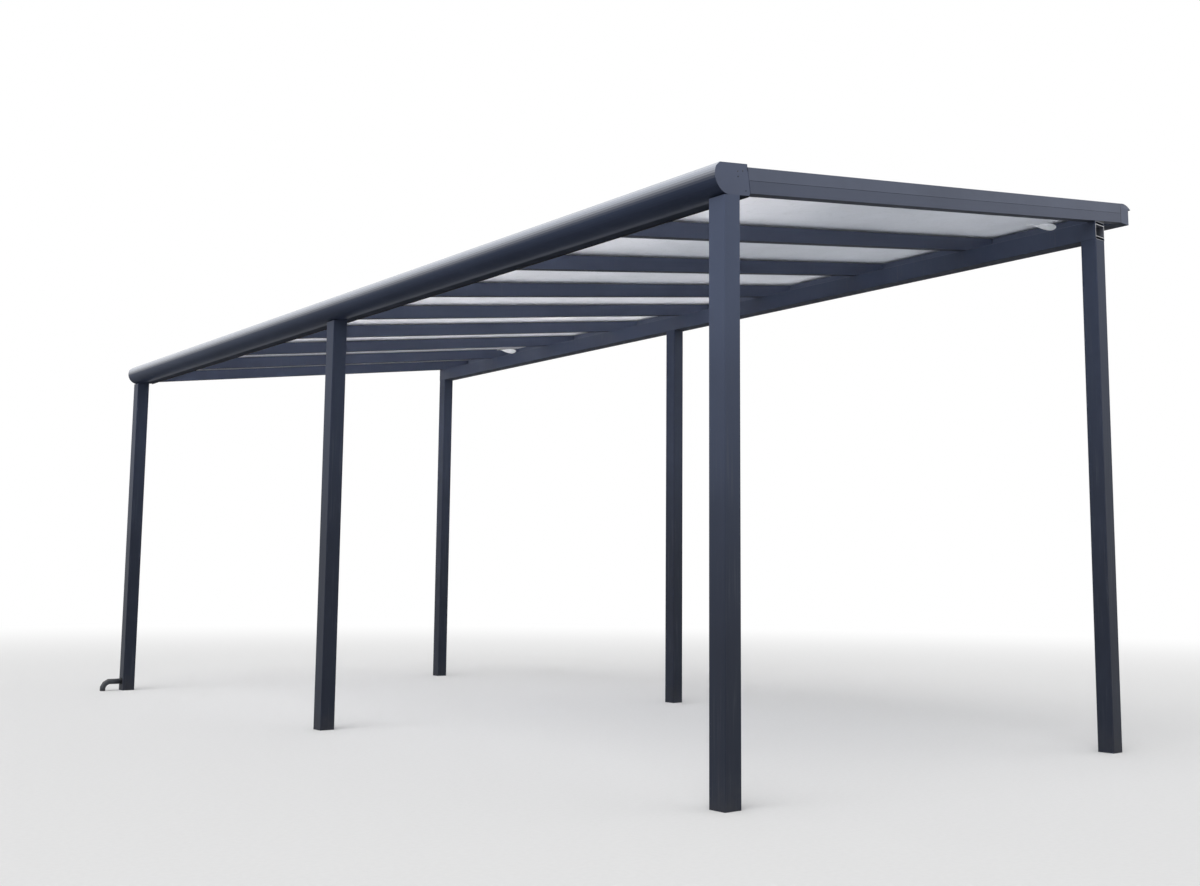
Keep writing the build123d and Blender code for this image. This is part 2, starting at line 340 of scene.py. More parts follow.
class Effects:
    """The surface effects that several finishes share. Each is a node group, built once."""

    def __init__(self) -> None:
        """Build every group."""
        self.peel = self.orange_peel()
        self.lines = self.draw_lines()
        self.dust = self.dust_film()
        self.streaks = self.rain_streaks()
        self.splash = self.ground_splash()
        self.edges = self.soft_edges()
        self.blotches = self.cloudy_tone()
        self.stains = self.dried_stains()
        self.under_shade = self.painted_under_shade()

    def orange_peel(self) -> bpy.types.NodeTree:
        """Make the fine waviness of baked powder: a noise of the given wave size in metres."""
        group = Group("orange_peel", "Height", Size=0.002)
        return group.finished(group.ripples(group.where, "Size", detail=2.0, roughness=0.4))

    def draw_lines(self) -> bpy.types.NodeTree:
        """Make faint lines along the way a bar was drawn: a noise squeezed across by Stretch.

        Returns:
            The group.
        """
        group = Group("draw_lines", "Height", Stretch=None, Spacing=0.003)
        squeezed = group.vector("MULTIPLY", group.where, group.given["Stretch"])
        return group.finished(group.ripples(squeezed, "Spacing", detail=3.0, roughness=0.6))

    def dust_film(self) -> bpy.types.NodeTree:
        """Make dust that settles on faces that look up, in soft patches.

        Returns:
            The group.
        """
        group = Group("dust_film", "Mask", Amount=0.5)
        upward = group.ramp(group.facing(UP), 0.15, 0.95)
        patches = group.noise(group.where, scale=5.0, detail=6.0, roughness=0.62)
        patches = group.ramp(patches, 0.28, 0.74, start=0.35)
        specks = group.noise(group.where, scale=160.0, detail=2.0)
        specks = group.ramp(specks, 0.42, 0.72, start=0.75)
        return group.finished(group.times(upward, patches, specks, group.given["Amount"]))

    def rain_streaks(self) -> bpy.types.NodeTree:
        """Make run marks down upright faces: a noise drawn out thirty times along Z.

        Returns:
            The group.
        """
        group = Group("rain_streaks", "Mask", Width=0.02, Amount=0.5)
        upright = group.ramp(group.maths("ABSOLUTE", group.facing(UP)), 0.85, 0.35)
        drawn = group.vector("MULTIPLY", group.where, (1.0, 1.0, 0.033))
        runs = group.ramp(group.ripples(drawn, "Width", detail=3.0, roughness=0.55), 0.48, 0.78)
        breaks = group.ramp(group.noise(group.where, scale=2.3, detail=3.0), 0.36, 0.66)
        return group.finished(group.times(runs, breaks, upright, group.given["Amount"]))

    def ground_splash(self) -> bpy.types.NodeTree:
        """Make mud specks and a grey film thrown up by rain, fading out at the given height.

        Returns:
            The group.
        """
        group = Group("ground_splash", "Mask", Height=0.3, Amount=0.6)
        height = group.given["Height"]
        wander = group.times(group.noise(group.where, scale=9.0, detail=3.0), height, 0.9)
        level = group.maths("ADD", group.parts(group.where)["Z"], wander)
        low = group.ramp(level, height, 0.0)
        film = group.noise(group.where, scale=26.0, detail=5.0, roughness=0.6)
        film = group.ramp(film, 0.3, 0.75, start=0.4, end=0.85)
        specks = group.ramp(group.noise(group.where, scale=210.0, detail=2.0), 0.58, 0.66)
        both = group.maths("MAXIMUM", film, specks)
        return group.finished(group.times(both, low, group.given["Amount"]))

    def soft_edges(self) -> bpy.types.NodeTree:
        """Round the sharp edges to the eye and mask where they are rubbed.

        Returns:
            The group.
        """
        group = Group("soft_edges", "Normal", "Mask", Radius=0.0012, Wear=0.3)
        rounded = group.result("ShaderNodeBevel", {"Radius": group.given["Radius"]}, samples=4)
        turned_away = group.ramp(group.facing(rounded), 0.995, 0.86)
        rubbed = group.noise(group.where, scale=34.0, detail=4.0, roughness=0.65)
        rubbed = group.ramp(rubbed, 0.46, 0.66)
        return group.finished(rounded, group.times(turned_away, rubbed, group.given["Wear"]))

    def cloudy_tone(self) -> bpy.types.NodeTree:
        """Make a broad change of tone: 1 plus or minus the given share, in waves of Size metres.

        Returns:
            The group.
        """
        group = Group("cloudy_tone", "Tone", Size=0.6, Share=0.06)
        low, high = (group.maths(sign, 1.0, group.given["Share"]) for sign in ("SUBTRACT", "ADD"))
        cloud = group.ripples(group.where, "Size", detail=4.0, roughness=0.55)
        return group.finished(group.ramp(cloud, 0.3, 0.7, start=low, end=high))

    def painted_under_shade(self) -> bpy.types.NodeTree:
        """Make the painted shade on faces that look down, in soft patches; where it lies, the
        finish is also made matt.

        Returns:
            The group.
        """
        group = Group("painted_under_shade", "Mask", Amount=0.5)
        under = group.ramp(group.facing(DOWN), 0.3, 0.9)
        patches = group.noise(group.where, scale=6.0, detail=4.0, roughness=0.55)
        patches = group.ramp(patches, 0.25, 0.7, start=0.84)
        return group.finished(group.times(under, patches, group.given["Amount"]))

    def dried_stains(self) -> bpy.types.NodeTree:
        """Make the rims that drying water leaves: a noise where it crosses one level.

        Returns:
            The group.
        """
        group = Group("dried_stains", "Mask", Size=0.12, Amount=0.5)
        level = 0.52
        pool = group.ripples(group.where, "Size", detail=3.0, roughness=0.5)
        rim = group.ramp(group.apart(pool, level), 0.028, 0.0)
        body = group.ramp(pool, level, 0.66, start=0.0, end=0.35)
        both = group.maths("MAXIMUM", rim, body)
        return group.finished(group.times(both, group.given["Amount"]))


# Finishes


@dataclass(frozen=True)
class CutEnd:
    """Sawn end of a hollow bar along Y: bare round its main chamber, dull metal inside it."""

    axis_x: float
    axis_z: float
    half_width: float = 51.0 * MM
    half_height: float = 38.5 * MM
    wall: float = 4.0 * MM
    touched_up: float = 0.3
    bareness: float = 0.55
    saw_dark: Triple = (0.52, 0.53, 0.55)
    saw_pale: Triple = (0.78, 0.78, 0.80)
    inside: Triple = (0.16, 0.17, 0.20)

    def dress(self, skin: Skin, paint: Socket) -> tuple[Socket, Socket]:
        """Lay the bare metal over the paint.

        A point is inside where its distances from the bar's axis are both less than the chamber's
        halves, and on the cut where its face looks along Y.

        Args:
            skin: The bar's material.
            paint: The painted colour.

        Returns:
            The colour, and how metallic it is.
        """
        split = skin.parts(skin.where)
        aside = skin.apart(split["X"], self.axis_x)
        rise = skin.apart(split["Z"], self.axis_z)
        width, height, rim = self.half_width, self.half_height, self.half_height + self.wall
        within = skin.times(
            skin.ramp(aside, width + 0.4 * MM, width + 0.2 * MM),
            skin.ramp(rise, height + 0.4 * MM, height + 0.2 * MM),
        )
        framed = skin.ramp(rise, rim + 0.2 * MM, rim + 1.2 * MM, start=1.0, end=self.touched_up)
        endways = skin.maths("ABSOLUTE", skin.facing(REARWARD))
        cut = skin.times(skin.ramp(endways, 0.9, 0.97), framed)
        scored = skin.vector("MULTIPLY", skin.where, (30.0, 1.0, 900.0))
        saw = skin.noise(scored, scale=1.0, detail=2.0)
        sawn = skin.mix(saw, self.saw_dark, self.saw_pale)
        colour = skin.mix(cut, skin.mix(within, paint, self.inside), sawn)
        return colour, skin.times(cut, self.bareness)


@dataclass(frozen=True)
class PowderCoat:
    """Satin powder coat on an aluminium bar, weathered by dust, rain and splashes, with painted
    light and shade on it.

    Where it looks to the sky, the coat can get a painted highlight, a pale colour, under a real
    glossy
    coat: the two spans are the cosines between which each sets in. Its tone can run from painted
    shade at the foot to painted light at the head, between two heights. The chalking, partly
    painted light, lies on every face, or only on those that look to one side, which makes that side
    a painted lit side; and the painted shade under ledges sets in between two values of X.
    """

    name: str
    grain: Grain
    colour: Triple = (0.045, 0.057, 0.092)
    roughness: float = 0.42
    gloss: float = 0.3
    sky_highlight_and_gloss: bool = False
    highlight_span: tuple[float, float] = (-0.05, 0.5)
    shine_span: tuple[float, float] = (-0.32, 0.25)
    shaded_foot_tone: float = 1.0
    lit_head_tone: float = 1.0
    painted_light_heights: tuple[float, float] = (0.1, 3.1)
    chalk_and_light: float = 0.0
    lit_side: Triple | None = None
    dust: float = 0.45
    streaks: float = 0.35
    splash: float = 0.0
    wear: float = 0.25
    under_shade: float = 0.9
    under_shade_x: tuple[float, float] | None = None
    cut_end: CutEnd | None = None
    joint_x: float | None = None
    joint_width: float = 5.5 * MM
    joint_colour: Triple = (0.008, 0.009, 0.011)
    chalk_and_light_colour: Triple = (0.170, 0.200, 0.285)
    highlight_colour: Triple = (0.375, 0.420, 0.520)
    dust_colour: Triple = (0.205, 0.208, 0.212)
    run_colour: Triple = (0.100, 0.110, 0.132)
    mud_colour: Triple = (0.088, 0.083, 0.076)
    shade_colour: Triple = (0.015, 0.019, 0.029)

    def build(self, effects: Effects) -> bpy.types.Material:
        """Build the material.

        Args:
            effects: The shared effects.

        Returns:
            The finished material.
        """
        skin = Skin(self.name)
        rounded, worn = skin.effect(effects.edges, Radius=1.2 * MM, Wear=self.wear)
        dust = skin.effect(effects.dust, Amount=self.dust)[0]
        runs = skin.effect(effects.streaks, Width=14 * MM, Amount=self.streaks)[0]
        mud = skin.effect(effects.splash, Height=0.42, Amount=self.splash)[0]
        peel = skin.effect(effects.peel, Size=2.2 * MM)[0]
        lines = skin.effect(effects.lines, Stretch=self.grain.value, Spacing=3.5 * MM)[0]
        # Painted shade on faces that look down, under ledges.
        ledge_shade = self.ledge_shade(skin, effects)
        more: dict[str, Feed] = {}
        # Chalking, partly painted light: a lighter bluish film, on one side only where it is a
        # painted lit side.
        paint = skin.mix(self.chalked_and_lit(skin), self.colour, self.chalk_and_light_colour)
        # Tone: cloudy, with painted shade low and painted light high where the foot and head tones
        # differ.
        paint = skin.scaled(paint, self.tone(skin, effects))
        # Painted highlight: faces that look to the sky get a pale colour, under a real glossy coat.
        if self.sky_highlight_and_gloss:
            skyward = skin.facing(UP)
            pale = skin.ramp(skyward, *self.highlight_span)
            paint = skin.mix(pale, paint, self.highlight_colour)
            more["Coat_Weight"] = skin.ramp(skyward, *self.shine_span)
            more["Coat_Roughness"], more["Coat_IOR"] = 0.2, 2.6
        # The last of these marks is painted shade; the others are dirt and wear.
        for mask, colour in (
            (runs, self.run_colour),
            (worn, self.chalk_and_light_colour),
            (dust, self.dust_colour),
            (mud, self.mud_colour),
            (ledge_shade, self.shade_colour),
        ):
            paint = skin.mix(mask, paint, colour)
        matt = self.roughness
        for mask, share in ((skin.maths("MAXIMUM", dust, mud), 0.45), (lines, 0.05), (ledge_shade, 0.5)):
            matt = skin.maths("MULTIPLY_ADD", mask, share, matt)
        if self.cut_end is not None:
            paint, more["Metallic"] = self.cut_end.dress(skin, paint)
        if self.joint_x is not None:
            from_joint = skin.apart(skin.parts(skin.where)["X"], self.joint_x)
            joint = skin.ramp(from_joint, self.joint_width, 0.6 * self.joint_width)
            paint = skin.mix(joint, paint, self.joint_colour)
        normal = skin.bump(lines, 0.03 * MM, skin.bump(peel, 0.022 * MM, rounded))
        return skin.finished(
            Base_Color=paint, Roughness=matt, Normal=normal, Specular_IOR_Level=self.gloss, **more
        )

    def tone(self, skin: Skin, effects: Effects) -> Feed:
        """Make the paint's tone: cloudy, with painted shade on the ground rising to painted light
        at the top.

        Args:
            skin: The material.
            effects: The shared effects.

        Returns:
            The tone.
        """
        cloudy = skin.effect(effects.blotches, Size=0.9, Share=0.07)[0]
        if self.shaded_foot_tone == self.lit_head_tone:
            return cloudy
        sway = skin.maths("MULTIPLY_ADD", skin.noise(skin.where, scale=1.3, detail=4.0), 0.8, -0.4)
        level = skin.maths("ADD", skin.parts(skin.where)["Z"], sway)
        rise = skin.maths("POWER", skin.ramp(level, *self.painted_light_heights), 1.5)
        gain = self.lit_head_tone - self.shaded_foot_tone
        return skin.times(cloudy, skin.maths("MULTIPLY_ADD", rise, gain, self.shaded_foot_tone))

    def chalked_and_lit(self, skin: Skin) -> Feed:
        """Mask the chalking and painted light, in soft patches; on one side only, it is a painted
        lit side.

        Args:
            skin: The material.

        Returns:
            The mask.
        """
        patches = skin.noise(skin.where, scale=3.1, detail=5.0, roughness=0.6)
        chalky = skin.ramp(patches, 0.25, 0.75, start=0.7 * self.chalk_and_light, end=self.chalk_and_light)
        if self.lit_side is None:
            return chalky
        return skin.times(chalky, skin.ramp(skin.facing(self.lit_side), 0.3, 0.8))

    def ledge_shade(self, skin: Skin, effects: Effects) -> Feed:
        """Mask the painted shade under ledges.

        Args:
            skin: The material.
            effects: The shared effects.

        Returns:
            The mask.
        """
        under = skin.effect(effects.under_shade, Amount=self.under_shade)[0]
        if self.under_shade_x is None:
            return under
        x = skin.parts(skin.where)["X"]
        return skin.times(under, skin.ramp(x, *self.under_shade_x, start=0.35))


@dataclass(frozen=True)
class OpalSheet:
    """Opal multiwall sheet: it lets light through, its webs show as faint stripes, and light and
    shade are painted on it.
    """

    low_end: float
    first_web: float
    name: str = "opal_multiwall"
    pitch: float = 1.010
    web_pitch: float = 20.0 * MM
    lit_colour: Triple = (0.965, 0.965, 1.000)
    # The plain colour is the painted shade between the lit parts.
    plain: Triple = (0.605, 0.625, 0.670)
    web_colour: Triple = (0.520, 0.545, 0.585)
    edge_glow_colour: Triple = (0.950, 0.960, 0.970)
    algae_colour: Triple = (0.300, 0.325, 0.290)

    def build(self, effects: Effects) -> bpy.types.Material:
        """Build the material: painted light at the low end and to the rear, painted shade between.

        Args:
            effects: The shared effects.

        Returns:
            The finished material.
        """
        skin = Skin(self.name)
        split = skin.parts(skin.where)
        from_low = skin.maths("SUBTRACT", split["X"], self.low_end)
        across = skin.maths("SUBTRACT", split["Y"], self.first_web)
        sway = skin.maths("MULTIPLY_ADD", skin.noise(skin.where, scale=0.55, detail=3.0), 1.6, -0.8)
        # Painted light at the low end, turning to painted shade up the slope.
        uphill = skin.ramp(skin.maths("ADD", from_low, sway), -0.1, 1.9)
        colour = skin.mix(uphill, self.lit_colour, self.plain)
        # Painted light towards the rear.
        colour = skin.mix(skin.ramp(split["Y"], -2.6, 0.8), colour, self.lit_colour)
        tone = skin.effect(effects.blotches, Size=0.5, Share=0.05)[0]
        colour = skin.scaled(colour, tone)
        webs = skin.ramp(skin.maths("PINGPONG", across, self.web_pitch / 2), 2.2 * MM, 0.6 * MM)
        # Painted glow: a lighter line along each sheet's edge next to a rafter.
        edge_glow = skin.ramp(skin.maths("PINGPONG", across, self.pitch / 2), 41.0 * MM, 34.0 * MM)
        stains = skin.effect(effects.stains, Size=0.16, Amount=0.22)[0]
        dust = skin.effect(effects.dust, Amount=0.4)[0]
        film = skin.maths("MAXIMUM", skin.times(stains, 0.6), dust)
        for mask, laid_on in (
            (skin.times(webs, 0.55), self.web_colour),
            (skin.times(edge_glow, 0.6), self.edge_glow_colour),
            (film, self.algae_colour),
        ):
            colour = skin.mix(mask, colour, laid_on)
        return skin.finished(
            Base_Color=colour,
            Roughness=skin.maths("MULTIPLY_ADD", film, 0.1, 0.88),
            Normal=skin.bump(webs, 0.05 * MM),
            Transmission_Weight=0.86,
            IOR=1.22,
            Coat_Weight=skin.ramp(skin.facing(UP), 0.2, 0.6, start=0.0, end=0.5),
            Coat_Roughness=0.2,
        )


@dataclass(frozen=True)
class BareMetal:
    """Mill-finish aluminium with draw lines, stains and a dull oxide."""

    name: str
    grain: Grain
    colour: Triple = (0.610, 0.620, 0.640)
    roughness: float = 0.42
    splash: float = 0.0
    stain_colour: Triple = (0.33, 0.33, 0.33)
    worn_colour: Triple = (0.82, 0.82, 0.83)
    mud_colour: Triple = (0.16, 0.14, 0.11)

    def build(self, effects: Effects) -> bpy.types.Material:
        """Build the material.

        Args:
            effects: The shared effects.

        Returns:
            The finished material.
        """
        skin = Skin(self.name)
        rounded, worn = skin.effect(effects.edges, Radius=0.5 * MM, Wear=0.5)
        lines = skin.effect(effects.lines, Stretch=self.grain.value, Spacing=0.9 * MM)[0]
        stains = skin.effect(effects.stains, Size=0.05, Amount=0.5)[0]
        mud = skin.effect(effects.splash, Height=0.2, Amount=self.splash)[0]
        colour = skin.mix(stains, self.colour, self.stain_colour)
        colour = skin.mix(worn, colour, self.worn_colour)
        return skin.finished(
            Base_Color=skin.mix(mud, colour, self.mud_colour),
            Roughness=skin.maths("MULTIPLY_ADD", stains, 0.3, self.roughness),
            Normal=skin.bump(lines, 0.02 * MM, rounded),
            Metallic=0.85,
        )


@dataclass(frozen=True)
class MouldedPlastic:
    """Moulded plastic or rubber with a fine spark-eroded grain."""

    name: str
    colour: Triple
    roughness: float = 0.5
    grain_size: float = 0.8 * MM
    dust: float = 0.4
    splash: float = 0.0
    sheen: float = 0.3
    dirt_colour: Triple = (0.19, 0.18, 0.16)

    def build(self, effects: Effects) -> bpy.types.Material:
        """Build the material.

        Args:
            effects: The shared effects.

        Returns:
            The finished material.
        """
        skin = Skin(self.name)
        rounded, worn = skin.effect(effects.edges, Radius=0.8 * MM, Wear=0.3)
        grain = skin.effect(effects.peel, Size=self.grain_size)[0]
        tone = skin.effect(effects.blotches, Size=0.08, Share=0.12)[0]
        dust = skin.effect(effects.dust, Amount=self.dust)[0]
        mud = skin.effect(effects.splash, Height=0.16, Amount=self.splash)[0]
        pale = tuple(min(1.0, 1.8 * part + 0.03) for part in self.colour)
        colour = skin.mix(worn, skin.scaled(self.colour, tone), pale)
        return skin.finished(
            Base_Color=skin.mix(skin.maths("MAXIMUM", dust, mud), colour, self.dirt_colour),
            Roughness=skin.maths("MULTIPLY_ADD", dust, 0.35, self.roughness),
            Normal=skin.bump(grain, 0.03 * MM, rounded),
            Specular_IOR_Level=self.sheen,
        )


class Finishes:
    """Every material of the carport, built once. Places in their patterns come from the frame.

    The gutter's shade span says how far from the gutter's face the painted shade under its floor
    sets in.
    """

    gutter_floor_shade: tuple[float, float] = (128.0 * MM, 162.0 * MM)

    def __init__(self) -> None:
        """Build the materials."""
        effects = Effects()
        beam_middle = middle_of("carrier_beam")
        gutter_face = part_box("gutter")[0].x
        # The front post's tone is painted shade at its foot and painted light at its head.
        post = PowderCoat(
            "coat_front_post",
            Grain.UPRIGHT,
            gloss=0.15,
            splash=0.5,
            dust=0.3,
            shaded_foot_tone=0.48,
            lit_head_tone=1.97,
        )
        self.front_post = post.build(effects)
        # The other posts are a shaded copy of the coat: their darker colour and tone are painted
        # shade, and the chalking on their left faces is a painted lit side.
        self.shaded_post = replace(
            post,
            name="coat_posts_painted_shade",
            colour=(0.030, 0.038, 0.062),
            chalk_and_light=0.035,
            lit_side=(-1.0, 0.0, 0.0),
            shaded_foot_tone=0.66,
            lit_head_tone=1.55,
        ).build(effects)
        bar = PowderCoat(
            "coat_rafters", Grain.UPHILL, colour=(0.056, 0.070, 0.114), streaks=0.15, dust=0.5
        )
        self.rafter = bar.build(effects)
        # The edge rafters' chalking on their outer faces is a painted lit side.
        self.edge_rafters = tuple(
            replace(bar, name=f"coat_edge_{end}", chalk_and_light=0.17, lit_side=side).build(effects)
            for end, side in (("front", (0.0, -1.0, 0.0)), ("rear", REARWARD))
        )
        # The chalking on the covers, fascia, caps and closer is partly painted light; on the fascia
        # it is the light on its outer face.
        self.cover = PowderCoat("coat_covers", Grain.UPHILL, chalk_and_light=0.25, dust=0.6).build(effects)
        self.fascia = PowderCoat(
            "coat_fascia", Grain.UPHILL, chalk_and_light=0.44, streaks=0.3
        ).build(effects)
        # The gutter gets a painted highlight on its upper side and painted shade under the inner
        # part of its floor.
        self.gutter = PowderCoat(
            "coat_gutter",
            Grain.LENGTHWISE,
            colour=(0.044, 0.057, 0.096),
            shade_colour=(0.008, 0.012, 0.021),
            roughness=0.36,
            gloss=0.05,
            sky_highlight_and_gloss=True,
            dust=0.35,
            streaks=0.12,
            under_shade=1.0,
            under_shade_x=tuple(gutter_face + part for part in self.gutter_floor_shade),
        ).build(effects)
        self.cap = PowderCoat(
            "coat_caps", Grain.UPHILL, colour=(0.062, 0.080, 0.138), chalk_and_light=0.26, streaks=0.2
        ).build(effects)
        self.closer_cap = PowderCoat(
            "coat_closer_caps",
            Grain.UPHILL,
            colour=(0.064, 0.080, 0.130),
            chalk_and_light=0.36,
            streaks=0.2,
            joint_x=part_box("closing_cap_front")[0].x,
        ).build(effects)
        self.closer = PowderCoat(
            "coat_closer", Grain.LENGTHWISE, chalk_and_light=0.2, dust=0.6
        ).build(effects)
        self.beam = PowderCoat(
            "coat_beam",
            Grain.LENGTHWISE,
            colour=(0.053, 0.067, 0.108),
            cut_end=CutEnd(axis_x=beam_middle.x, axis_z=beam_middle.z),
        ).build(effects)
        self.sheet = OpalSheet(
            low_end=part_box("roof_sheet_1")[0].x, first_web=middle_of("rafter_edge_front").y
        ).build(effects)
        self.trim = BareMetal("mill_trims", Grain.LENGTHWISE).build(effects)
        self.foot = BareMetal("mill_feet", Grain.UPHILL, splash=0.6).build(effects)
        self.screw = BareMetal(
            "blacked_screws", Grain.UPRIGHT, colour=(0.030, 0.032, 0.037)
        ).build(effects)
        self.pipe = MouldedPlastic(
            "plastic_outlet", (0.060, 0.066, 0.078), roughness=0.42, dust=0.55, splash=0.6
        ).build(effects)
        self.packer = MouldedPlastic("plastic_packers", (0.020, 0.020, 0.022)).build(effects)
        self.rubber = MouldedPlastic(
            "rubber_seals", (0.011, 0.011, 0.012), roughness=0.62, grain_size=0.4 * MM, dust=0.25
        ).build(effects)
        self.tape = MouldedPlastic(
            "foil_tape", (0.80, 0.81, 0.80), roughness=0.45, grain_size=3.0 * MM, sheen=0.5
        ).build(effects)


# Meshes


def middle_of(node: str) -> Vector:
    """Give the middle of a CAD node's box."""
    return sum(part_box(node), Vector()) / 2


def points_of(mesh: bpy.types.Mesh) -> np.ndarray:
    """Read a mesh's points.

    Args:
        mesh: The mesh.

    Returns:
        One row for each point.
    """
    points = np.zeros(len(mesh.vertices) * 3)
    mesh.vertices.foreach_get("co", points)
    return points.reshape(-1, 3)


def placed(name: str, data: bpy.types.ID) -> bpy.types.Object:
    """Put data into the scene.

    Args:
        name: The object's name.
        data: Its mesh, camera or lamp.

    Returns:
        The object.
    """
    thing = bpy.data.objects.new(name, data)
    bpy.context.scene.collection.objects.link(thing)
    return thing


def finish_piece(
    mesh: bpy.types.Mesh,
    name: str,
    material: bpy.types.Material,
    smooth_degrees: float,
) -> bpy.types.Object:
    """Merge a mesh's doubles, turn its faces outwards, smooth it and make it a riding object.

    Args:
        mesh: The mesh.
        name: The object's name.
        material: Its finish.
        smooth_degrees: Edges sharper than this stay sharp.

    Returns:
        The object, at the origin.
    """
    work = bmesh.new()
    work.from_mesh(mesh)
    bmesh.ops.remove_doubles(work, verts=work.verts, dist=0.002 * MM)
    bmesh.ops.recalc_face_normals(work, faces=work.faces)
    work.to_mesh(mesh)
    work.free()
    mesh.shade_smooth()
    mesh.set_sharp_from_angle(angle=math.radians(smooth_degrees))
    mesh.materials.clear()
    mesh.materials.append(material)
    piece = placed(name, mesh)
    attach(piece, "root")
    LOG.info("%s: %d faces", name, len(mesh.polygons))
    return piece


@dataclass
class Shell:
    """Points of one or more closed surfaces, and blocks of faces of one size each."""

    points: np.ndarray
    blocks: list[np.ndarray]

    @staticmethod
    def joined(shells: Sequence["Shell"]) -> "Shell":
        """Put several shells into one.

        Args:
            shells: The shells, in order.

        Returns:
            One shell of all their points and faces.
        """
        starts = np.cumsum([0] + [len(shell.points) for shell in shells])
        blocks = [block + start for shell, start in zip(shells, starts) for block in shell.blocks]
        return Shell(np.concatenate([shell.points for shell in shells]), blocks)

    def piece(self, name: str, material: bpy.types.Material, slot: Slot) -> bpy.types.Object:
        """Make the shell an object that rides on the carport.

        Args:
            name: The object's name.
            material: Its finish.
            slot: Not used.

        Returns:
            The object.
        """
        mesh = bpy.data.meshes.new(name)
        faces = [face for block in self.blocks for face in block.tolist()]
        mesh.from_pydata(self.points.tolist(), [], faces)
        return finish_piece(mesh, name, material, smooth_degrees=35.0)


def quads(rings: int, count: int) -> np.ndarray:
    """List the faces between closed rings of points.

    Args:
        rings: The number of rings.
        count: The number of points in each.

    Returns:
        Point j of rings i and i + 1, then point j + 1 of rings i + 1 and i, for every i and j.
    """
    start, point = np.meshgrid(np.arange(rings - 1) * count, np.arange(count), indexing="ij")
    here, after = start + point, start + (point + 1) % count
    return np.stack([here, here + count, after + count, after], axis=-1).reshape(-1, 4)


def carried(
    outline: np.ndarray,
    stations: np.ndarray,
    across: np.ndarray,
    up: np.ndarray,
    widths: np.ndarray | float = 1.0,
) -> Shell:
    """Carry a closed outline along a path and close both ends.

    Point (i, j) = station i + width i times outline j's first part times across + its second
    part times up.

    Args:
        outline: k by 2, the closed outline without its first point repeated.
        stations: m by 3, the path's points.
        across: The direction of the outline's first part, or one for each station.
        up: The direction of its second part, or one for each station.
        widths: How much of its width the outline keeps, or one share for each station.

    Returns:
        The closed shell.
    """
    rings, count = len(stations), len(outline)
    across = np.broadcast_to(across, stations.shape)[:, None]
    up = np.broadcast_to(up, stations.shape)[:, None]
    widths = np.broadcast_to(widths, rings)[:, None, None]
    grid = stations[:, None] + widths * outline[:, :1] * across + outline[:, 1:] * up
    first = np.arange(count)
    ends = np.stack([first, first + (rings - 1) * count])
    return Shell(grid.reshape(-1, 3), [quads(rings, count), ends])


def turned(
    outline: np.ndarray, centre: np.ndarray, axis: np.ndarray, across: np.ndarray, steps: int
) -> Shell:
    """Turn an outline of radius and height round an axis; it closes itself or ends on the axis.

    Point (i, j) = centre + height i times axis + radius i times
    (cos(2 pi j / steps) across + sin(2 pi j / steps) axis x across).

    Args:
        outline: k by 2, radius and height.
        centre: The point of height 0 on the axis.
        axis: The axis's direction.
        across: A direction square to it.
        steps: The number of points round the axis.

    Returns:
        The shell.
    """
    angles = 2 * np.pi * np.arange(steps)[:, None] / steps
    ring = np.cos(angles) * across + np.sin(angles) * np.cross(axis, across)
    grid = centre + outline[:, None, 1:] * axis + outline[:, None, :1] * ring
    return Shell(grid.reshape(-1, 3), [quads(len(outline), steps)])


def bare_copy(node: str) -> bpy.types.Mesh:
    """Copy a CAD node's mesh without its own normals.

    Args:
        node: The CAD node.

    Returns:
        The copy.
    """
    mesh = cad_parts[node].data.copy()
    mesh.normals_split_custom_set([(0.0, 0.0, 0.0)] * len(mesh.loops))
    return mesh


def smooth_copy(
    node: str, material: bpy.types.Material, smooth_degrees: float = 24.0
) -> None:
    """Stand a merged, smoothly shaded copy of a CAD node in for it.

    Args:
        node: The CAD node.
        material: The copy's finish.
        smooth_degrees: Edges sharper than this stay sharp.
    """
    mesh = bare_copy(node)
    piece = finish_piece(mesh, f"{node}_smooth", material, smooth_degrees)
    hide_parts(node)


def dress(nodes: Sequence[str], material: bpy.types.Material) -> None:
    """Give CAD nodes a finish.

    Args:
        nodes: The nodes' names.
        material: The finish.
    """
    for node in nodes:
        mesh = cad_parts[node].data
        mesh.materials.clear()
        mesh.materials.append(material)
        LOG.info("%s: %s", node, material.name)


@dataclass(frozen=True)
class Bead:
    """A rubber bead along a bar: its outline's radii, its place and where it begins and ends."""

    radii: tuple[float, float]
    sides: int
    inset: float
    above: float
    start: float
    shortfall: float


